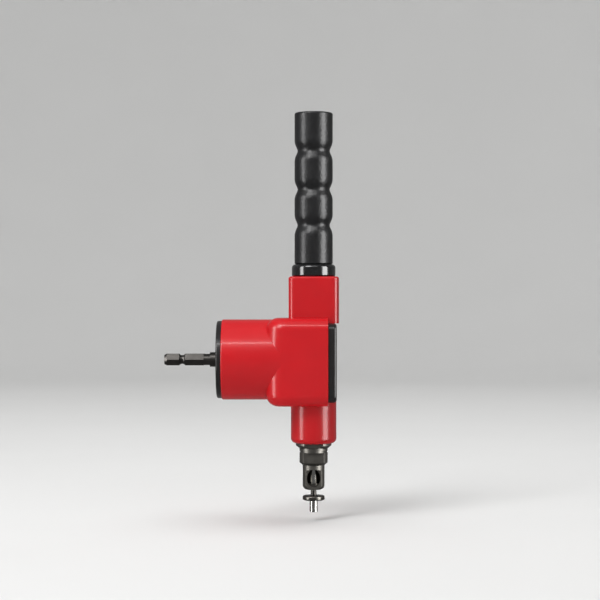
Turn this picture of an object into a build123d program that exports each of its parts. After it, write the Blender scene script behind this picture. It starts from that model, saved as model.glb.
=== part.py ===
from build123d import *

import math
import os

# Nibbler attachment for a power drill. The hex shank goes in the drill's chuck and turns a crank; the
# crank lifts and lowers a yoke, whose plunger drives the punch through the die at the foot of the tool.
#
# Millimetres. The origin is the centre of the shank's free end. +X runs along the drive axis into the
# tool, and +Z runs up the punch axis towards the handle. At rest the punch is at the top of its stroke.

# ---------------------------------------------------------------- driving dimensions
throw = 2.25  # crank throw; the punch's stroke is twice this
ram_x = 82.0  # where the punch axis crosses the drive axis
running = 0.03  # radial clearance of a running fit
thread_play = 0.05  # radial clearance between threads, which are drawn plain

hex_af = 6.35  # quarter-inch drive
hex_end, neck_end = 21.6, 25.0
snap_groove_x = 9.8

cap_rear, drum_rear = 28.9, 31.6
box_rear, box_front = 56.0, 89.65
gasket_t, cover_front = 0.45, 94.3

drum_d = 44.0
box_depth, box_top, box_bottom = 44.0, 22.8, -25.0
box_edge, box_rear_corner = 6.5, 9.8
chamber_rear, chamber_w, chamber_top, chamber_bottom, chamber_corner = 65.5, 33.0, 17.5, -20.5, 4.0
cover_depth, cover_top, cover_bottom = 42.0, 20.0, -22.8
column_w, column_top = 27.4, 45.5
nose_d, nose_bottom = 25.0, -45.9

# bearings: bore, outside, width, ball, how many balls
rear_bearing_x, rear_bearing = 32.6, (8.0, 22.0, 7.0, 3.97, 7)  # 608
front_bearing_x, front_bearing = 56.0, (12.0, 28.0, 8.0, 4.76, 8)  # 6001
rear_bearing_end = rear_bearing_x + rear_bearing[2]
front_bearing_end = front_bearing_x + front_bearing[2]
rear_seat_r, front_seat_r = rear_bearing[1] / 2, front_bearing[1] / 2

# ram: heights are those at the top of the stroke
slot_half_h, slot_half_w, slot_end = 6.05, 9.8, 84.5
yoke_rear, yoke_front = ram_x - 5.5, ram_x + 5.5
yoke_half_h, yoke_half_w = 11.0, 12.5
tenon_r, tenon_top = 3.5, -5.0
plunger_r, plunger_shoulder, plunger_bottom = 4.5, -13.75, -45.5
yoke_pin_z = -9.5
punch_shank_r, punch_shank_top, punch_shank_bottom = 3.0, -33.0, -58.0
punch_r, punch_edge, punch_bottom = 2.2, -71.5, -83.8
waist_r, waist_bottom = 1.55, -75.0

# bores on the punch axis
handle_thread_r, handle_thread_bottom = 5.0, 31.0  # M10
guide_r = 2.5
bush_r, bush_top, bush_seat_bottom = 6.5, -22.0, -34.5
spigot_r = 7.0

# die head
holder_r, holder_bottom = 6.0, -71.4
die_r, die_top, die_bottom = 6.05, -74.7, -77.3
die_collar_r, die_collar_top = 3.8, -68.0
set_screw_z, set_screw_r = -69.6, 1.25

# handle
flange_top, grip_top = 52.3, 135.6
grip_r, core_r, core_top = 10.5, 7.5, 128.0
grip_waists, waist_depth, waist_half = (73.8, 93.4, 114.6), 1.65, 6.0

# M3 screws that hold the covers
screw_r, screw_hole_r = 1.5, 1.6
screw_l = 11.5
cover_holes = [(y, z) for y in (-16.4, 16.4) for z in (15.4, -18.8)]
cap_screw_pcd, cap_screw_count, cap_screw_turn = 32.4, 4, 45

drive_axis = Axis.X
ram_axis = Axis((ram_x, 0, 0), (0, 0, 1))
side = Plane.XZ  # profiles about the drive axis: local x is X, local y is Z
ram_side = Plane(origin=(ram_x, 0, 0), x_dir=(1, 0, 0), z_dir=(0, -1, 0))  # local x is the radius

os.makedirs("parts", exist_ok=True)


def save(piece, name):
    """Labels a finished piece and writes it as its own STEP file."""
    piece.part.label = name
    export_step(piece.part, f"parts/{name}.step")


def along_drive(inner, outer, start, end, mode=Mode.ADD):
    """A ring about the drive axis, in the part being built."""
    with BuildSketch(side) as half:
        with BuildLine():
            Polyline((start, inner), (start, outer), (end, outer), (end, inner), close=True)
        make_face()
    revolve(half.sketch, axis=drive_axis, mode=mode)


def along_ram(inner, outer, low, high, mode=Mode.ADD):
    """A ring about the punch axis, in the part being built."""
    with BuildSketch(ram_side) as half:
        with BuildLine():
            Polyline((inner, low), (outer, low), (outer, high), (inner, high), close=True)
        make_face()
    revolve(half.sketch, axis=ram_axis, mode=mode)


def cut_ram_flats(half_af, low, high):
    """Spanner flats facing Y on a round piece, half_af from the punch axis and from low to high."""
    spare = 3.0
    with BuildSketch(Plane.XY.offset(low)) as beyond:
        with Locations([(ram_x, sign * (half_af + spare)) for sign in (-1, 1)]):
            Rectangle(column_w, 2 * spare)
    extrude(beyond.sketch, amount=high - low, mode=Mode.SUBTRACT)


# ---------------------------------------------------------------- painted casting
box_mid = (box_top + box_bottom) / 2
chamber_mid, chamber_h = (chamber_top + chamber_bottom) / 2, chamber_top - chamber_bottom
cover_boss_r, cover_hole_depth = 3.8, 11.0
cap_boss_r, cap_hole_depth = 3.6, 10.0
pocket_r, pocket_depth = (13.2, 19.4), 14.0
between_bearings_r = 8.5
clip_t, clip_play = 1.0, 0.1

with BuildPart() as body_casting:
    # box around the crank; every edge but the cover seat's is rounded, most of all the two rear uprights
    with BuildSketch(Plane.YZ.offset(box_rear)):
        with Locations((0, box_mid)):
            Rectangle(box_depth, box_top - box_bottom)
    extrude(amount=box_front - box_rear)
    fillet(edges().filter_by(Axis.Z).group_by(Axis.X)[0], radius=box_rear_corner)
    for level in (faces().sort_by(Axis.Z)[-1], faces().sort_by(Axis.Z)[0]):
        fillet(level.edges().sort_by(Axis.X)[:-1], radius=box_edge)
    # square column for the handle and round nose for the die holder, both standing proud of the cover seat
    with BuildSketch(Plane.XY.offset(cover_top)):
        with Locations((ram_x, 0)):
            RectangleRounded(column_w, column_w, radius=3.4)
    extrude(amount=column_top - cover_top)
    fillet(faces().sort_by(Axis.Z)[-1].edges(), radius=1.2)
    along_ram(0, nose_d / 2, nose_bottom, cover_bottom)
    fillet(faces().sort_by(Axis.Z)[0].edges(), radius=2.8)
    # bearing drum
    with BuildSketch(Plane.YZ.offset(drum_rear)):
        Circle(drum_d / 2)
    extrude(amount=chamber_rear - drum_rear)
    fillet(faces().sort_by(Axis.X)[0].edges(), radius=0.8)
    # crank chamber, with a boss in each corner for the cover screws
    with BuildSketch(Plane.YZ.offset(chamber_rear)):
        with Locations((0, chamber_mid)):
            RectangleRounded(chamber_w, chamber_h, radius=chamber_corner)
        with Locations(cover_holes):
            Circle(cover_boss_r, mode=Mode.SUBTRACT)
    extrude(amount=box_front - chamber_rear, mode=Mode.SUBTRACT)
    # bearing seats, the clearance between them, and the clip groove of the front one
    along_drive(0, rear_seat_r, drum_rear, rear_bearing_end, mode=Mode.SUBTRACT)
    along_drive(0, between_bearings_r, rear_bearing_end, front_bearing_x, mode=Mode.SUBTRACT)
    along_drive(0, front_seat_r, front_bearing_x, chamber_rear, mode=Mode.SUBTRACT)
    groove_start = front_bearing_end + clip_play
    along_drive(0, front_seat_r + 0.7, groove_start, groove_start + clip_t + clip_play, mode=Mode.SUBTRACT)
    # lightening pocket behind the rear cap, with a boss for each cap screw
    with BuildSketch(Plane.YZ.offset(drum_rear)):
        Circle(pocket_r[1])
        Circle(pocket_r[0], mode=Mode.SUBTRACT)
        with PolarLocations(cap_screw_pcd / 2, cap_screw_count, start_angle=cap_screw_turn):
            Circle(cap_boss_r, mode=Mode.SUBTRACT)
    extrude(amount=pocket_depth, mode=Mode.SUBTRACT)
    # screw holes
    with BuildSketch(Plane.YZ.offset(drum_rear)):
        with PolarLocations(cap_screw_pcd / 2, cap_screw_count, start_angle=cap_screw_turn):
            Circle(screw_r)
    extrude(amount=cap_hole_depth, mode=Mode.SUBTRACT)
    with BuildSketch(Plane.YZ.offset(box_front)):
        with Locations(cover_holes):
            Circle(screw_r)
    extrude(amount=-cover_hole_depth, mode=Mode.SUBTRACT)
    # bores on the punch axis, from the handle thread down to the die holder thread
    along_ram(0, handle_thread_r, handle_thread_bottom, column_top, mode=Mode.SUBTRACT)
    along_ram(0, guide_r, chamber_top, handle_thread_bottom, mode=Mode.SUBTRACT)
    along_ram(0, plunger_r + 0.5, bush_top, chamber_bottom, mode=Mode.SUBTRACT)
    along_ram(0, bush_r, bush_seat_bottom, bush_top, mode=Mode.SUBTRACT)
    along_ram(0, spigot_r + thread_play, nose_bottom, bush_seat_bottom, mode=Mode.SUBTRACT)
save(body_casting, "body_casting")

# ---------------------------------------------------------------- covers and their screws
cover_mid, cover_h = (cover_top + cover_bottom) / 2, cover_top - cover_bottom
head_r, head_h, head_sunk, head_play = 2.7, 2.4, 0.2, 0.2
cover_key_r, cover_key_depth = 1.25, 1.4

with BuildPart() as end_cover:
    with BuildSketch(Plane.YZ.offset(box_front + gasket_t)):
        with Locations((0, cover_mid)):
            RectangleRounded(cover_depth, cover_h, radius=4.0)
    extrude(amount=cover_front - box_front - gasket_t)
    fillet(faces().sort_by(Axis.X)[-1].edges(), radius=1.6)
    with Locations([Location((cover_front, y, z), (0, 90, 0)) for y, z in cover_holes]):
        CounterBoreHole(
            radius=screw_hole_r,
            counter_bore_radius=head_r + head_play,
            counter_bore_depth=head_sunk + head_h,
        )
save(end_cover, "end_cover")

with BuildPart() as cover_gasket:
    with BuildSketch(Plane.YZ.offset(box_front)):
        with Locations((0, cover_mid)):
            RectangleRounded(cover_depth - 1.0, cover_h - 1.0, radius=3.5)
        with Locations((0, chamber_mid)):
            RectangleRounded(chamber_w, chamber_h, radius=chamber_corner, mode=Mode.SUBTRACT)
        with Locations(cover_holes):
            Circle(cover_boss_r)
        with Locations(cover_holes):
            Circle(screw_hole_r, mode=Mode.SUBTRACT)
    extrude(amount=gasket_t)
save(cover_gasket, "cover_gasket")

head_top = cover_front - head_sunk
with BuildPart() as cover_screws:
    with BuildSketch(Plane.YZ.offset(head_top)):
        with Locations(cover_holes):
            Circle(head_r)
    extrude(amount=-head_h)
    with BuildSketch(Plane.YZ.offset(head_top - head_h)):
        with Locations(cover_holes):
            Circle(screw_r)
    extrude(amount=-screw_l)
    with BuildSketch(Plane.YZ.offset(head_top)):
        with Locations(cover_holes):
            RegularPolygon(cover_key_r, 6, major_radius=False)
    extrude(amount=-cover_key_depth, mode=Mode.SUBTRACT)
save(cover_screws, "cover_screws")

cap_r, cap_hole_r = 21.2, 4.4
seal_r, seal_rear = 7.0, cap_rear + 0.8
countersink_r, countersunk_head_r, countersunk_head_h = 2.9, 2.8, 1.3
cap_key_r, cap_key_depth = 1.0, 1.2

with BuildPart() as rear_cap:
    along_drive(0, cap_r, cap_rear, drum_rear)
    fillet(faces().sort_by(Axis.X)[0].edges(), radius=0.9)
    along_drive(0, rear_seat_r, drum_rear, rear_bearing_x)
    along_drive(0, seal_r, seal_rear, rear_bearing_x, mode=Mode.SUBTRACT)
    along_drive(0, cap_hole_r, cap_rear, rear_bearing_x, mode=Mode.SUBTRACT)
    with Locations(Location((cap_rear, 0, 0), (0, -90, 0))):
        with PolarLocations(cap_screw_pcd / 2, cap_screw_count, start_angle=cap_screw_turn):
            CounterSinkHole(radius=screw_hole_r, counter_sink_radius=countersink_r)
save(rear_cap, "rear_cap")

from_the_face = (Align.CENTER, Align.CENTER, Align.MAX)
with BuildPart() as cap_screws:
    with Locations(Location((cap_rear, 0, 0), (0, -90, 0))):
        with PolarLocations(cap_screw_pcd / 2, cap_screw_count, start_angle=cap_screw_turn):
            Cone(screw_r, countersunk_head_r, countersunk_head_h, align=from_the_face)
            Cylinder(screw_r, screw_l, align=from_the_face)
    with BuildSketch(Plane.YZ.offset(cap_rear)):
        with PolarLocations(cap_screw_pcd / 2, cap_screw_count, start_angle=cap_screw_turn):
            RegularPolygon(cap_key_r, 6, major_radius=False)
    extrude(amount=cap_key_depth, mode=Mode.SUBTRACT)
save(cap_screws, "cap_screws")

with BuildPart() as shaft_seal:
    along_drive(rear_bearing[0] / 2 + 0.05, seal_r, seal_rear, rear_bearing_x - 0.3)
save(shaft_seal, "shaft_seal")


# ---------------------------------------------------------------- bearings
def bearing(name, start, sizes):
    """A deep-groove ball bearing about the drive axis, as its rings, cage and balls."""
    bore, outside, width, ball, count = sizes
    ball_r = ball / 2
    pitch_r = (bore + outside) / 4
    middle = start + width / 2
    shoulder = 0.73 * ball_r  # how far each ring's face stays from the pitch circle
    race_play, pocket_play = 0.045, 0.06
    cage_half_t, cage_half_w = 0.7, ball_r + 0.7

    with BuildPart() as outer_ring:
        along_drive(pitch_r + shoulder, outside / 2, start, start + width)
        chamfer(edges().filter_by(GeomType.CIRCLE).group_by(SortBy.RADIUS)[-1], length=0.3)
        with BuildSketch(side):
            with Locations((middle, pitch_r)):
                Circle(ball_r + race_play)
        revolve(axis=drive_axis, mode=Mode.SUBTRACT)
    save(outer_ring, f"{name}_outer_ring")

    with BuildPart() as inner_ring:
        along_drive(bore / 2, pitch_r - shoulder, start, start + width)
        with BuildSketch(side):
            with Locations((middle, pitch_r)):
                Circle(ball_r + race_play)
        revolve(axis=drive_axis, mode=Mode.SUBTRACT)
    save(inner_ring, f"{name}_inner_ring")

    turns = [2 * math.pi * n / count for n in range(count)]
    with BuildPart() as balls:
        with Locations([(middle, pitch_r * math.sin(turn), pitch_r * math.cos(turn)) for turn in turns]):
            Sphere(ball_r)
    save(balls, f"{name}_balls")

    with BuildPart() as cage:
        along_drive(pitch_r - cage_half_t, pitch_r + cage_half_t, middle - cage_half_w, middle + cage_half_w)
        for turn in turns:
            outwards = (0, math.sin(turn), math.cos(turn))
            with BuildSketch(Plane((middle, 0, 0), x_dir=(1, 0, 0), z_dir=outwards)):
                Circle(ball_r + pocket_play)
            extrude(amount=outside / 2, mode=Mode.SUBTRACT)
    save(cage, f"{name}_cage")


bearing("rear_bearing", rear_bearing_x, rear_bearing)
bearing("front_bearing", front_bearing_x, front_bearing)


def split_ring(plane, inner, outer, gap_width, lug_r, lug_at):
    """A retaining clip's outline: an open ring with a plier hole in a lug at each end."""
    with BuildSketch(plane) as clip:
        Circle(outer)
        Circle(inner, mode=Mode.SUBTRACT)
        lugs = [(sign * (gap_width / 2 + lug_r * 0.9), lug_at) for sign in (-1, 1)]
        with Locations(lugs):
            Circle(lug_r)
        with Locations((0, lug_at)):
            Rectangle(gap_width, 3 * lug_r + outer - inner, mode=Mode.SUBTRACT)
        with Locations(lugs):
            Circle(lug_r * 0.45, mode=Mode.SUBTRACT)
    return clip.sketch


shaft_clip_r, shaft_clip_x = 5.7, front_bearing_x - 1.1

with BuildPart() as bearing_clip:
    in_groove = Plane.YZ.offset(groove_start + clip_play / 2)
    outline = split_ring(in_groove, 12.4, front_seat_r + 0.6, gap_width=2.2, lug_r=1.3, lug_at=-12.2)
    extrude(outline, amount=clip_t)
save(bearing_clip, "bearing_clip")

with BuildPart() as shaft_clip:
    behind_ring = Plane.YZ.offset(shaft_clip_x)
    outline = split_ring(behind_ring, shaft_clip_r, 7.4, gap_width=1.6, lug_r=0.9, lug_at=-7.1)
    extrude(outline, amount=clip_t)
save(shaft_clip, "shaft_clip")

# ---------------------------------------------------------------- crankshaft
web_rear, web_front = 65.9, 72.4
weight_r, hub_r, shoulder_r = 13.6, 9.0, 7.5
journal_end = rear_bearing_end
neck_r, pin_r, pin_end = 3.1, 4.0, 83.9
hex_corner_r = hex_af / math.sqrt(3)
cone_l, cone_depth = 1.9, 0.6
snap_r, snap_depth = 1.85, 1.3

with BuildPart() as crankshaft:
    with BuildSketch(Plane.YZ):
        RegularPolygon(hex_af / 2, 6, major_radius=False)  # corners at the front and back
    extrude(amount=hex_end)
    # the free end is turned to a cone, and the chuck's snap groove is round in section
    with BuildSketch(side):
        with BuildLine():
            Polyline(
                (0, hex_af / 2 - cone_depth),
                (0, hex_corner_r + 1),
                (cone_l, hex_corner_r + 1),
                (cone_l, hex_corner_r),
                close=True,
            )
        make_face()
        with Locations((snap_groove_x, hex_corner_r + snap_r - snap_depth)):
            Circle(snap_r)
    revolve(axis=drive_axis, mode=Mode.SUBTRACT)
    along_drive(0, neck_r, hex_end, neck_end)
    along_drive(0, rear_bearing[0] / 2, neck_end, journal_end)
    along_drive(0, front_bearing[0] / 2, journal_end, front_bearing_end)
    along_drive(0, shoulder_r, front_bearing_end, web_rear)
    along_drive(shaft_clip_r, shoulder_r, shaft_clip_x, shaft_clip_x + clip_t, mode=Mode.SUBTRACT)
    # web with a counterweight opposite the crank pin
    with BuildSketch(Plane.YZ.offset(web_rear)):
        Circle(weight_r)
        with Locations((0, weight_r)):
            Rectangle(2 * weight_r, 2 * weight_r, mode=Mode.SUBTRACT)
        Circle(hub_r)
    extrude(amount=web_front - web_rear)
    with BuildSketch(Plane.YZ.offset(web_front)):
        with Locations((0, throw)):
            Circle(pin_r)
    extrude(amount=pin_end - web_front)
    chamfer(edges().filter_by(GeomType.CIRCLE).group_by(Axis.X)[-1], length=0.4)
save(crankshaft, "crankshaft")

block_w, block_play, block_end_play = 14.0, 0.05, 0.3

with BuildPart() as slide_block:
    with BuildSketch(Plane.YZ.offset(yoke_rear + block_end_play)):
        with Locations((0, throw)):
            RectangleRounded(block_w, 2 * (slot_half_h - block_play), radius=1.0)
            Circle(pin_r + running, mode=Mode.SUBTRACT)
    extrude(amount=slot_end - yoke_rear - 2 * block_end_play)
save(slide_block, "slide_block")

# ---------------------------------------------------------------- ram: yoke, plunger and punch
button_r, button_seat, button_proud = 4.0, 2.2, 2.3
yoke_neck_r, yoke_neck_top = 5.4, throw + 14.9
yoke_boss_w = 16.0

with BuildPart() as yoke:
    with BuildSketch(Plane.YZ.offset(yoke_rear)):
        with Locations((0, throw)):
            RectangleRounded(2 * yoke_half_w, 2 * yoke_half_h, radius=3.0)
    extrude(amount=yoke_front - yoke_rear)
    # neck for the guide pin above, boss for the plunger below
    along_ram(0, yoke_neck_r, throw + yoke_half_h - 1, yoke_neck_top)
    with BuildSketch(Plane.XY.offset(plunger_shoulder)):
        with Locations((ram_x, 0)):
            RectangleRounded(yoke_front - yoke_rear, yoke_boss_w, radius=2.0)
    extrude(amount=throw - yoke_half_h - plunger_shoulder + 1)
    # slot for the slide block, open to the rear, and the seat of the thrust button in front
    with BuildSketch(Plane.YZ.offset(yoke_rear)):
        with Locations((0, throw)):
            RectangleRounded(2 * slot_half_w, 2 * slot_half_h, radius=1.2)
    extrude(amount=slot_end - yoke_rear, mode=Mode.SUBTRACT)
    with BuildSketch(Plane.YZ.offset(yoke_front)):
        with Locations((0, throw)):
            Circle(button_r + running)
    extrude(amount=-button_seat - 0.1, mode=Mode.SUBTRACT)
    along_ram(0, guide_r + running, throw + slot_half_h + 1, yoke_neck_top, mode=Mode.SUBTRACT)
    along_ram(0, tenon_r, plunger_shoulder, tenon_top, mode=Mode.SUBTRACT)
    with Locations(Location((ram_x, 0, yoke_pin_z), (90, 0, 0))):
        Hole(screw_r)
save(yoke, "yoke")

with BuildPart() as yoke_pin:
    with Locations(Location((ram_x, 0, yoke_pin_z), (90, 0, 0))):
        Cylinder(screw_r, yoke_boss_w - 0.4)
    chamfer(edges().filter_by(GeomType.CIRCLE), length=0.2)
save(yoke_pin, "yoke_pin")

with BuildPart() as thrust_button:
    with BuildSketch(Plane.YZ.offset(yoke_front - button_seat)):
        with Locations((0, throw)):
            Circle(button_r)
    extrude(amount=button_seat + button_proud)
    fillet(faces().sort_by(Axis.X)[-1].edges(), radius=0.6)
save(thrust_button, "thrust_button")

with BuildPart() as plunger:
    along_ram(0, tenon_r, plunger_shoulder, tenon_top)
    along_ram(0, plunger_r, plunger_bottom, plunger_shoulder)
    chamfer(faces().sort_by(Axis.Z)[0].edges(), length=0.5)
    along_ram(0, punch_shank_r, plunger_bottom, punch_shank_top, mode=Mode.SUBTRACT)
    with Locations(Location((ram_x, 0, yoke_pin_z), (90, 0, 0))):
        Hole(screw_r)
save(plunger, "plunger")

end_chamfer, shank_cone, waist_cone = 0.3, 1.2, 0.4
punch_flat_low, punch_flat_h = -49.5, 3.0

with BuildPart() as punch:
    with BuildSketch(ram_side):
        with BuildLine():
            Polyline(
                (0, punch_bottom),
                (punch_r - end_chamfer, punch_bottom),
                (punch_r, punch_bottom + end_chamfer),
                (punch_r, waist_bottom),
                (waist_r, waist_bottom + waist_cone),
                (waist_r, punch_edge),
                (punch_r, punch_edge),
                (punch_r, punch_shank_bottom - shank_cone),
                (punch_shank_r, punch_shank_bottom),
                (punch_shank_r, punch_shank_top),
                (0, punch_shank_top),
                close=True,
            )
        make_face()
    revolve(axis=ram_axis)
    # spanner flats under the plunger
    cut_ram_flats(punch_shank_r - 0.5, punch_flat_low, punch_flat_low + punch_flat_h)
save(punch, "punch")

# ---------------------------------------------------------------- guides in the casting
seal_top, seal_bottom = -32.0, -34.3

with BuildPart() as guide_pin:
    along_ram(0, guide_r, throw + slot_half_h + 1.2, handle_thread_bottom - 1.5)
    chamfer(edges().filter_by(GeomType.CIRCLE), length=0.3)
save(guide_pin, "guide_pin")

with BuildPart() as plunger_bush:
    along_ram(plunger_r + running, bush_r, seal_top + 0.1, bush_top)
save(plunger_bush, "plunger_bush")

with BuildPart() as plunger_seal:
    along_ram(plunger_r + 0.05, bush_r, seal_bottom, seal_top)
save(plunger_seal, "plunger_seal")

# ---------------------------------------------------------------- die head
nut_r, nut_bottom, nut_play, nut_half_af = 9.8, -48.3, 0.05, 8.3

with BuildPart() as lock_nut:
    along_ram(0, nut_r, nut_bottom, nose_bottom - nut_play)
    chamfer(faces().sort_by(Axis.Z)[0].edges(), length=1.4, length2=1.2)
    cut_ram_flats(nut_half_af, nut_bottom, nose_bottom)
    along_ram(0, spigot_r + thread_play, nut_bottom, nose_bottom, mode=Mode.SUBTRACT)
save(lock_nut, "lock_nut")

spigot_top, spigot_bottom, spigot_chamfer = bush_seat_bottom - 0.5, -48.7, 0.4
band_r, band_top, band_bottom, band_half_af = 7.75, -51.0, -56.5, 5.5
groove_r, groove_top = 7.4, -50.1
neck_cone_l = 1.45
plunger_bore_r, plunger_bore_bottom = 4.9, -51.2
punch_bore_r, punch_bore_bottom = 3.2, -60.0
window_half_w, window_half_h, window_z = 3.7, 4.9, -65.1
face_y, face_top, face_run_out = 4.4, -60.7, 0.5  # the flat that the window opens in

with BuildPart() as die_holder:
    with BuildSketch(ram_side):
        with BuildLine():
            Polyline(
                (0, spigot_top),
                (spigot_r - spigot_chamfer, spigot_top),
                (spigot_r, spigot_top - spigot_chamfer),
                (spigot_r, spigot_bottom),
                (band_r, spigot_bottom),
                (band_r, groove_top),
                (groove_r, groove_top),
                (groove_r, band_top),
                (band_r, band_top),
                (band_r, band_bottom),
                (holder_r, band_bottom - neck_cone_l),
                (holder_r, holder_bottom),
                (0, holder_bottom),
                close=True,
            )
        make_face()
    revolve(axis=ram_axis)
    fillet(faces().sort_by(Axis.Z)[0].edges(), radius=2.4)
    along_ram(0, plunger_bore_r, plunger_bore_bottom, spigot_top, mode=Mode.SUBTRACT)
    along_ram(0, punch_bore_r, punch_bore_bottom, plunger_bore_bottom, mode=Mode.SUBTRACT)
    along_ram(0, die_collar_r, holder_bottom, punch_bore_bottom, mode=Mode.SUBTRACT)
    cut_ram_flats(band_half_af, band_bottom, band_top)
    # front flat, whose cutter ran out upwards, and the oval window in it
    with BuildSketch(Plane.YZ.offset(ram_x - holder_r)):
        with BuildLine():
            Polyline(
                (-face_y, holder_bottom),
                (-face_y, face_top),
                (-holder_r, face_top + face_run_out),
                (-holder_r - 1, face_top + face_run_out),
                (-holder_r - 1, holder_bottom),
                close=True,
            )
        make_face()
    extrude(amount=2 * holder_r, mode=Mode.SUBTRACT)
    with BuildSketch(Plane.XZ):
        with Locations((ram_x, window_z)):
            Ellipse(window_half_w, window_half_h)
    extrude(amount=holder_r, mode=Mode.SUBTRACT)
    # hole of the set screw, at the back
    with BuildSketch(Plane.XZ.offset(0.3 - die_collar_r)):
        with Locations((ram_x, set_screw_z)):
            Circle(set_screw_r)
    extrude(amount=-holder_r, mode=Mode.SUBTRACT)
save(die_holder, "die_holder")

set_screw_l, set_screw_key_r, set_screw_key_depth = 2.0, 0.65, 0.9

with BuildPart() as die_set_screw:
    with BuildSketch(Plane.XZ.offset(-die_collar_r)):
        with Locations((ram_x, set_screw_z)):
            Circle(set_screw_r)
    extrude(amount=-set_screw_l)
    with BuildSketch(Plane.XZ.offset(-die_collar_r - set_screw_l)):
        with Locations((ram_x, set_screw_z)):
            RegularPolygon(set_screw_key_r, 6, major_radius=False)
    extrude(amount=set_screw_key_depth, mode=Mode.SUBTRACT)
save(die_set_screw, "die_set_screw")

post_y, post_t, post_root = 2.7, 1.44, 0.5

with BuildPart() as die:
    along_ram(0, die_r, die_bottom, die_top)
    fillet(edges().filter_by(GeomType.CIRCLE), radius=0.9)
    along_ram(0, die_collar_r, holder_bottom, die_collar_top)
    # post behind the punch, narrower than the cut so that it follows through it
    with BuildSketch(Plane.XY.offset(die_top - post_root)):
        with Locations((ram_x, post_y)):
            Rectangle(2 * waist_r, post_t)
    extrude(amount=holder_bottom - die_top + 2 * post_root)
    along_ram(0, punch_r + running, die_bottom, die_collar_top, mode=Mode.SUBTRACT)
save(die, "die")

# ---------------------------------------------------------------- handle
flange_r = 12.0
stud_low, stud_high = handle_thread_bottom + 1.0, 62.0
rim_r, rim_sunk, rim_cone = 6.5, 0.8, 0.8

with BuildPart() as handle_stud:
    along_ram(0, handle_thread_r - thread_play, stud_low, stud_high)
    chamfer(edges().filter_by(GeomType.CIRCLE), length=0.8)
save(handle_stud, "handle_stud")

with BuildPart() as handle_core:
    along_ram(0, flange_r, column_top, flange_top)
    fillet(faces().sort_by(Axis.Z)[-1].edges(), radius=2.0)
    fillet(faces().sort_by(Axis.Z)[0].edges(), radius=1.0)
    along_ram(0, core_r, flange_top, core_top)
    along_ram(0, handle_thread_r, column_top, stud_high + 0.5, mode=Mode.SUBTRACT)
save(handle_core, "handle_core")

with BuildPart() as grip_sleeve:
    with BuildSketch(ram_side):
        with BuildLine():
            # closed top, sunk a little inside a raised rim
            crown = Line((0, grip_top - rim_sunk), (rim_r, grip_top - rim_sunk))
            rise = Line(crown @ 1, (rim_r + rim_cone, grip_top))
            rim = Line(rise @ 1, (grip_r - 1.0, grip_top))
            corner = RadiusArc(rim @ 1, (grip_r, grip_top - 1.0), 1.0)
            reached = corner @ 1
            for waist_z in reversed(grip_waists):
                # each finger waist is a shallow S in and an S out
                barrel = Line(reached, (grip_r, waist_z + waist_half))
                dip = Spline(
                    barrel @ 1,
                    (grip_r - waist_depth, waist_z),
                    (grip_r, waist_z - waist_half),
                    tangents=[(0, -1), (0, -1)],
                )
                reached = dip @ 1
            Polyline(
                reached,
                (grip_r, flange_top + 0.6),
                (grip_r - 0.6, flange_top),
                (core_r, flange_top),
                (core_r, core_top),
                (0, core_top),
                crown @ 0,
            )
        make_face()
    revolve(axis=ram_axis)
save(grip_sleeve, "grip_sleeve")
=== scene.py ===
import math

import bmesh
import bpy
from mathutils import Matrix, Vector


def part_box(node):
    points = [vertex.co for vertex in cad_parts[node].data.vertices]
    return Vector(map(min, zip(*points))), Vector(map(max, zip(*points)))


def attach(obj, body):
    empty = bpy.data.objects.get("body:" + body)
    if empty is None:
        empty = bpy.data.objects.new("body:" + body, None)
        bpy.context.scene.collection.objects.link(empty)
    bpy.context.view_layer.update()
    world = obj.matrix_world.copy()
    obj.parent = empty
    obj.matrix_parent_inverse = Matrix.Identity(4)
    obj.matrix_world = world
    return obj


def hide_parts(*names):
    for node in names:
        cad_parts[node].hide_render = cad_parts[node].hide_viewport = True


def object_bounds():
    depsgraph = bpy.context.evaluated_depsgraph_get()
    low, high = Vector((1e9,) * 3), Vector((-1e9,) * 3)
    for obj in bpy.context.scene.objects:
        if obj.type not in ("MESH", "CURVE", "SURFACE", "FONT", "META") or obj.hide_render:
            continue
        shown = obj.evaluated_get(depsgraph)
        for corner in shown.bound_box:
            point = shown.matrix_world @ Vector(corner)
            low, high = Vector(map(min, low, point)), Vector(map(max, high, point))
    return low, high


# Looks of the nibbler attachment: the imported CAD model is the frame, and everything here dresses it.
# Metres, in the CAD frame: +X along the drive axis, +Z up the punch axis, the viewer on the -Y side.

MM = 0.001
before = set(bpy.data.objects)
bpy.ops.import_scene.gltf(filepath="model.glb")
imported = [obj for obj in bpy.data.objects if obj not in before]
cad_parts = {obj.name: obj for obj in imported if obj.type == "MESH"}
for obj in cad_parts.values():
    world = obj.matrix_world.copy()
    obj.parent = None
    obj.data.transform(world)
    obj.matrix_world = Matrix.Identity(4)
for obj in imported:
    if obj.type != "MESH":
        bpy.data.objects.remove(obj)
size_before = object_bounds()


# ---------------------------------------------------------------- material helpers
def new_material(name):
    """A node material with nothing but its Principled shader."""
    material = bpy.data.materials.new(name)
    material.use_nodes = True
    tree = material.node_tree
    tree.nodes.clear()
    output = tree.nodes.new("ShaderNodeOutputMaterial")
    shader = tree.nodes.new("ShaderNodeBsdfPrincipled")
    tree.links.new(shader.outputs["BSDF"], output.inputs["Surface"])
    return material, tree, shader


def add_node(tree, kind, inputs=None, **settings):
    """A node with its settings and constant inputs."""
    node = tree.nodes.new(kind)
    for key, value in settings.items():
        setattr(node, key, value)
    for key, value in (inputs or {}).items():
        node.inputs[key].default_value = value
    return node


def object_coords(tree, scale=(1, 1, 1)):
    """Object coordinates: metres in the CAD frame, since every piece sits at the origin."""
    coords = add_node(tree, "ShaderNodeTexCoord")
    mapping = add_node(tree, "ShaderNodeMapping", {"Scale": scale})
    tree.links.new(coords.outputs["Object"], mapping.inputs["Vector"])
    return mapping.outputs["Vector"]


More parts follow.
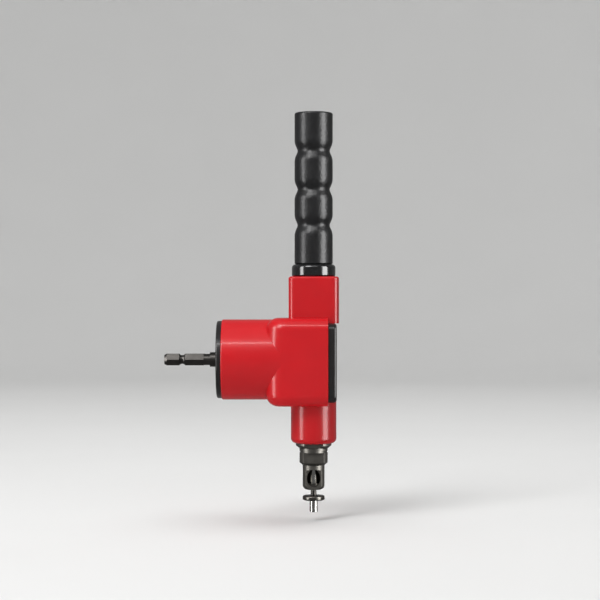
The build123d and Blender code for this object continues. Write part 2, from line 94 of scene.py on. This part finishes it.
def noise(tree, vector, scale, detail):
    """Smooth random patches between 0 and 1."""
    node = add_node(tree, "ShaderNodeTexNoise", {"Scale": scale, "Detail": detail, "Roughness": 0.5})
    tree.links.new(vector, node.inputs["Vector"])
    return node.outputs["Fac"]


def drift(tree, value, colour_low, colour_high):
    """Turns the middle of a noise's range into a drift from one colour to the other."""
    middle_of_range = (0.3, 0.7)
    node = add_node(tree, "ShaderNodeValToRGB")
    for stop, position, colour in zip(node.color_ramp.elements, middle_of_range, (colour_low, colour_high)):
        stop.position = position
        stop.color = (*colour, 1)
    tree.links.new(value, node.inputs["Fac"])
    return node.outputs["Color"]


def bump(tree, shader, height, distance, under=None):
    """Adds height to the shader's normal, over an earlier bump if one is given."""
    node = add_node(tree, "ShaderNodeBump", {"Distance": distance, "Strength": 1.0})
    tree.links.new(height, node.inputs["Height"])
    if under is not None:
        tree.links.new(under, node.inputs["Normal"])
    tree.links.new(node.outputs["Normal"], shader.inputs["Normal"])
    return node.outputs["Normal"]


def scaled(colour, factor):
    """A colour made darker, or paler where the factor is above one."""
    return tuple(channel * factor for channel in colour)


def speckled(tree, shader, here, scale, dark, pale):
    """Base colour that drifts between a dark and a pale."""
    colours = drift(tree, noise(tree, here, scale, detail=5), dark, pale)
    tree.links.new(colours, shader.inputs["Base Color"])


def uneven_gloss(tree, shader, here, scale, roughness, spread):
    """Roughness that wanders by spread either side of its middle."""
    span = add_node(tree, "ShaderNodeMapRange", {"To Min": roughness - spread, "To Max": roughness + spread})
    tree.links.new(noise(tree, here, scale, detail=4), span.inputs["Value"])
    tree.links.new(span.outputs["Result"], shader.inputs["Roughness"])


# ---------------------------------------------------------------- materials
X_TURNED, Z_TURNED = (110, 1, 1), (1, 1, 110)  # fine along the axis, broad across it: rings about X or Z
RING_SCALE = 40


def enamel(name, colour, roughness):
    """Sprayed enamel on a casting: glossy, with orange peel over the casting's own soft lumps."""
    lump_scale, lump_depth = 110, 0.06 * MM
    peel_scale, peel_depth = 900, 0.012 * MM
    material, tree, shader = new_material(name)
    here = object_coords(tree)
    speckled(tree, shader, here, scale=38, dark=scaled(colour, 0.88), pale=colour)
    uneven_gloss(tree, shader, here, scale=120, roughness=roughness, spread=0.05)
    shader.inputs["Specular IOR Level"].default_value = 0.28
    shader.inputs["Coat Weight"].default_value = 0.18
    shader.inputs["Coat Roughness"].default_value = 0.06
    lumps = bump(tree, shader, noise(tree, here, lump_scale, detail=3), lump_depth)
    bump(tree, shader, noise(tree, here, peel_scale, detail=2), peel_depth, under=lumps)
    return material


def metal(name, colour, roughness, tool_marks=None):
    """Bare or blackened steel, bronze or brass, with turned rings or, without tool_marks, a fine frost."""
    mottle_scale, frost_scale, mark_depth = 240, 2400, 0.003 * MM
    material, tree, shader = new_material(name)
    here = object_coords(tree)
    speckled(tree, shader, here, mottle_scale, dark=scaled(colour, 0.75), pale=colour)
    uneven_gloss(tree, shader, here, mottle_scale * 2, roughness, spread=0.07)
    shader.inputs["Metallic"].default_value = 1.0
    if tool_marks:
        marks = noise(tree, object_coords(tree, tool_marks), RING_SCALE, detail=3)
    else:
        marks = noise(tree, here, frost_scale, detail=3)
    bump(tree, shader, marks, mark_depth)
    return material


def moulded(name, colour, roughness, grain, grain_depth, coat=0.0):
    """Moulded rubber or plastic: a dull skin with a pebbled grain."""
    bloom = 1.9  # how much paler the skin's faint bloom is
    material, tree, shader = new_material(name)
    here = object_coords(tree)
    speckled(tree, shader, here, scale=70, dark=colour, pale=scaled(colour, bloom))
    uneven_gloss(tree, shader, here, scale=260, roughness=roughness, spread=0.07)
    shader.inputs["Specular IOR Level"].default_value = 0.32
    shader.inputs["Coat Weight"].default_value = coat
    shader.inputs["Coat Roughness"].default_value = 0.12
    pebbles = add_node(tree, "ShaderNodeTexVoronoi", {"Scale": grain}, feature="SMOOTH_F1")
    tree.links.new(here, pebbles.inputs["Vector"])
    bump(tree, shader, pebbles.outputs["Distance"], grain_depth)
    return material


def low_of(node):
    """Height of a CAD node's lowest point."""
    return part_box(node)[0][2]


def punch_finish():
    """Ground bright where it cuts and guides, still black in the waist between."""
    bright, black = (0.42, 0.41, 0.39), (0.05, 0.047, 0.043)
    above_die, below_holder, fade = 2.3 * MM, 0.05 * MM, 0.1 * MM
    waist_low = low_of("die") + above_die
    waist_high = low_of("die_holder") - below_holder
    material, tree, shader = new_material("punch_ground_steel")
    here = object_coords(tree)
    split = add_node(tree, "ShaderNodeSeparateXYZ")
    tree.links.new(here, split.inputs["Vector"])
    above = add_node(tree, "ShaderNodeMapRange", {"From Min": waist_low - fade, "From Max": waist_low})
    below = add_node(tree, "ShaderNodeMapRange", {"From Min": waist_high + fade, "From Max": waist_high})
    inside = add_node(tree, "ShaderNodeMath", operation="MULTIPLY")
    for gate, socket in ((above, 0), (below, 1)):
        tree.links.new(split.outputs["Z"], gate.inputs["Value"])
        tree.links.new(gate.outputs["Result"], inside.inputs[socket])
    ground = drift(tree, noise(tree, here, scale=300, detail=4), scaled(bright, 0.85), bright)
    mix = add_node(tree, "ShaderNodeMix", data_type="RGBA")
    factor, first, second = mix.inputs[0], mix.inputs[6], mix.inputs[7]  # the colour sockets of this node
    second.default_value = (*black, 1)
    tree.links.new(inside.outputs[0], factor)
    tree.links.new(ground, first)
    tree.links.new(mix.outputs[2], shader.inputs["Base Color"])
    uneven_gloss(tree, shader, here, scale=500, roughness=0.2, spread=0.05)
    shader.inputs["Metallic"].default_value = 1.0
    bump(tree, shader, noise(tree, object_coords(tree, Z_TURNED), RING_SCALE, detail=3), 0.002 * MM)
    return material


red = enamel("red_enamel", (0.58, 0.007, 0.012), 0.3)
black_enamel = enamel("black_enamel", (0.017, 0.016, 0.016), 0.3)
shank_steel = metal("shank_black_oxide", (0.085, 0.08, 0.075), 0.38, X_TURNED)
tip_steel = metal("tip_black_oxide", (0.15, 0.142, 0.128), 0.43, Z_TURNED)
die_steel = metal("die_black_oxide", (0.11, 0.104, 0.094), 0.32, Z_TURNED)
ground_steel = metal("machined_steel", (0.42, 0.42, 0.43), 0.32)
bearing_steel = metal("bearing_steel", (0.62, 0.62, 0.63), 0.14)
spring_steel = metal("spring_steel", (0.12, 0.12, 0.13), 0.3)
screw_steel = metal("black_screw_steel", (0.06, 0.06, 0.062), 0.34)
zinc_steel = metal("zinc_plated_steel", (0.5, 0.5, 0.49), 0.3, Z_TURNED)
bronze = metal("oiled_bronze", (0.42, 0.24, 0.09), 0.34)
brass = metal("pressed_brass", (0.52, 0.36, 0.12), 0.3)
grip_rubber = moulded("grip_rubber", (0.0065, 0.0065, 0.007), 0.36, 900, 0.09 * MM, coat=0.06)
flange_plastic = moulded("gloss_black", (0.006, 0.006, 0.0065), 0.16, 700, 0.004 * MM, coat=0.6)
seal_rubber = moulded("seal_rubber", (0.01, 0.01, 0.01), 0.5, 1200, 0.01 * MM)
gasket_paper = moulded("gasket_paper", (0.04, 0.036, 0.028), 0.8, 2500, 0.02 * MM)

FINISH = {
    "body_casting": red,
    "end_cover": black_enamel,
    "rear_cap": black_enamel,
    "cover_gasket": gasket_paper,
    "cover_screws": screw_steel,
    "cap_screws": screw_steel,
    "shaft_seal": seal_rubber,
    "plunger_seal": seal_rubber,
    "rear_bearing_cage": brass,
    "front_bearing_cage": brass,
    "bearing_clip": spring_steel,
    "shaft_clip": spring_steel,
    "crankshaft": shank_steel,
    "slide_block": bronze,
    "thrust_button": bronze,
    "plunger_bush": bronze,
    "lock_nut": tip_steel,
    "die_holder": tip_steel,
    "die_set_screw": screw_steel,
    "die": die_steel,
    "punch": punch_finish(),
    "handle_core": flange_plastic,
    "grip_sleeve": grip_rubber,
}


def finish_of(node):
    """A node's own finish, or plain steel for the bearings' rings and balls and the other inner pieces."""
    if node in FINISH:
        return FINISH[node]
    return bearing_steel if "bearing" in node else ground_steel


for node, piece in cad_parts.items():
    for slot in piece.material_slots:
        slot.material = finish_of(node)


# ---------------------------------------------------------------- mesh helpers
def mesh_object(name, form, material):
    """Turns a finished bmesh into an object in the scene."""
    mesh = bpy.data.meshes.new(name)
    form.to_mesh(mesh)
    form.free()
    mesh.materials.append(material)
    thing = bpy.data.objects.new(name, mesh)
    bpy.context.scene.collection.objects.link(thing)
    return thing


def add_ring(form, centre_x, centre_y, z, radii):
    """A ring of points about an upright axis, one for each radius."""
    ring = []
    for step, radius in enumerate(radii):
        angle = 2 * math.pi * step / len(radii)
        x = centre_x + radius * math.cos(angle)
        y = centre_y + radius * math.sin(angle)
        ring.append(form.verts.new((x, y, z)))
    return ring


def join_rings(form, rings, outwards):
    """Smooth quads between each ring and the next; outwards says which way they face."""
    for first, second in zip(rings, rings[1:]):
        for step in range(len(first)):
            after = (step + 1) % len(first)
            corners = (first[step], first[after], second[after], second[step])
            form.faces.new(corners if outwards else corners[::-1]).smooth = True


# ---------------------------------------------------------------- threaded stud
def threaded_stud():
    """The handle's M10 stud with its real thread, in place of the plain CAD cylinder."""
    low, high = (Vector(corner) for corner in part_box("handle_stud"))
    pitch, depth, chamfer_height = 1.5 * MM, 0.9 * MM, 1.2 * MM
    flat_share, flank_slope = 1.25, 3.3  # the root is flat where the groove would go below its depth
    around, rows_per_turn = 48, 6
    outer = (high.x - low.x) / 2
    centre_x, centre_y = (low.x + high.x) / 2, (low.y + high.y) / 2
    rows = int((high.z - low.z) / pitch * rows_per_turn)

    def radius_at(z, turn):
        phase = ((z - low.z) / pitch - turn) % 1.0
        groove = depth * min(1.0, max(0.0, flat_share - flank_slope * abs(phase - 0.5)))
        to_end = min(z - low.z, high.z - z)
        chamfer = depth * max(0.0, 1 - to_end / chamfer_height)
        return outer - max(groove, chamfer)

    form = bmesh.new()
    heights = [low.z + (high.z - low.z) * row / rows for row in range(rows + 1)]
    rings = [
        add_ring(form, centre_x, centre_y, z, [radius_at(z, step / around) for step in range(around)])
        for z in heights
    ]
    join_rings(form, rings, outwards=True)
    form.faces.new(rings[0][::-1])
    form.faces.new(rings[-1])
    stud = mesh_object("threaded_stud", form, zinc_steel)
    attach(stud, "handle_stud")
    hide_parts("handle_stud")


threaded_stud()


# ---------------------------------------------------------------- floor, camera and light
low, high = (Vector(corner) for corner in size_before)
MIDDLE = (low + high) / 2
STROKE = 4.5 * MM
FLOOR_GAP = 0.5 * MM
FLOOR_Z = low.z - STROKE - FLOOR_GAP  # clear of the punch at the bottom of its stroke


def matte(name, colour):
    """Studio paper, with no gloss at all."""
    material, tree, shader = new_material(name)
    patches = noise(tree, object_coords(tree), scale=6, detail=2)
    tree.links.new(drift(tree, patches, scaled(colour, 0.985), colour), shader.inputs["Base Color"])
    shader.inputs["Roughness"].default_value = 0.9
    shader.inputs["Specular IOR Level"].default_value = 0.0
    return material


def studio_bowl():
    """A pale round floor that curves up into a wall all round, so that no view shows a horizon."""
    floor_radius, bend, height = 1.7, 0.9, 3.2
    bend_steps, around = 16, 72
    profile = [(floor_radius, 0.0)]
    for step in range(1, bend_steps + 1):
        angle = math.pi / 2 * step / bend_steps
        profile.append((floor_radius + bend * math.sin(angle), bend - bend * math.cos(angle)))
    profile.append((floor_radius + bend, height))
    bowl = bmesh.new()
    rings = [add_ring(bowl, MIDDLE.x, 0, FLOOR_Z + rise, [radius] * around) for radius, rise in profile]
    bowl.faces.new(rings[0])
    join_rings(bowl, rings, outwards=False)
    floor = mesh_object("studio_floor", bowl, matte("pale_paper", (0.72, 0.72, 0.715)))
    floor.visible_glossy = False  # gloss shows the softboxes against a dim studio, not a white room


def aim(thing, place, target):
    thing.location = place
    thing.rotation_euler = (Vector(target) - Vector(place)).to_track_quat("-Z", "Y").to_euler()


def add_camera():
    """A long lens square to the front face."""
    distance, picture_width, sensor = 0.95, 0.33, 36.0
    centre = Vector((0.0745, 0, 0.0327))
    data = bpy.data.cameras.new("camera")
    data.sensor_width = sensor
    data.lens = sensor * distance / picture_width
    data.clip_start = 0.01
    data.dof.use_dof = False
    camera = bpy.data.objects.new("camera", data)
    bpy.context.scene.collection.objects.link(camera)
    aim(camera, centre + Vector((0, -distance, 0)), centre)
    bpy.context.scene.camera = camera


def add_area(name, place, width, height, power, diffuse=True, glossy=True, spread=180):
    """A softbox aimed at the tool. diffuse=False leaves only its sheen, glossy=False hides its sheen."""
    data = bpy.data.lights.new(name, "AREA")
    data.shape = "RECTANGLE"
    data.spread = math.radians(spread)
    data.size = width
    data.size_y = height
    data.energy = power
    light = bpy.data.objects.new(name, data)
    bpy.context.scene.collection.objects.link(light)
    aim(light, place, MIDDLE)
    light.visible_camera = False
    light.visible_diffuse = diffuse
    light.visible_glossy = glossy


def add_lights():
    add_area("key_softbox", (-0.9, -1.4, 1.5), 0.9, 1.2, 12.5, spread=110)
    add_area("ceiling_softbox", (MIDDLE.x, 0, 2.3), 2.2, 2.2, 38, glossy=False)
    # softboxes that only show as sheen on glossy pieces
    add_area("left_sheen", (-0.8, -0.4, 0.1), 0.3, 1.0, 10, diffuse=False)
    add_area("right_sheen", (0.85, -0.42, 0.1), 0.45, 1.0, 18, diffuse=False)
    add_area("top_sheen", (MIDDLE.x, -0.7, 0.8), 0.7, 0.08, 2.6, diffuse=False)


def add_world():
    """Dim white all round, and plain colours in the picture."""
    world = bpy.data.worlds.new("studio")
    world.use_nodes = True
    background = world.node_tree.nodes["Background"]
    background.inputs["Color"].default_value = (1, 1, 1, 1)
    background.inputs["Strength"].default_value = 0.2
    bpy.context.scene.world = world
    bpy.context.scene.view_settings.view_transform = "Standard"


studio_bowl()
add_camera()
add_lights()
add_world()
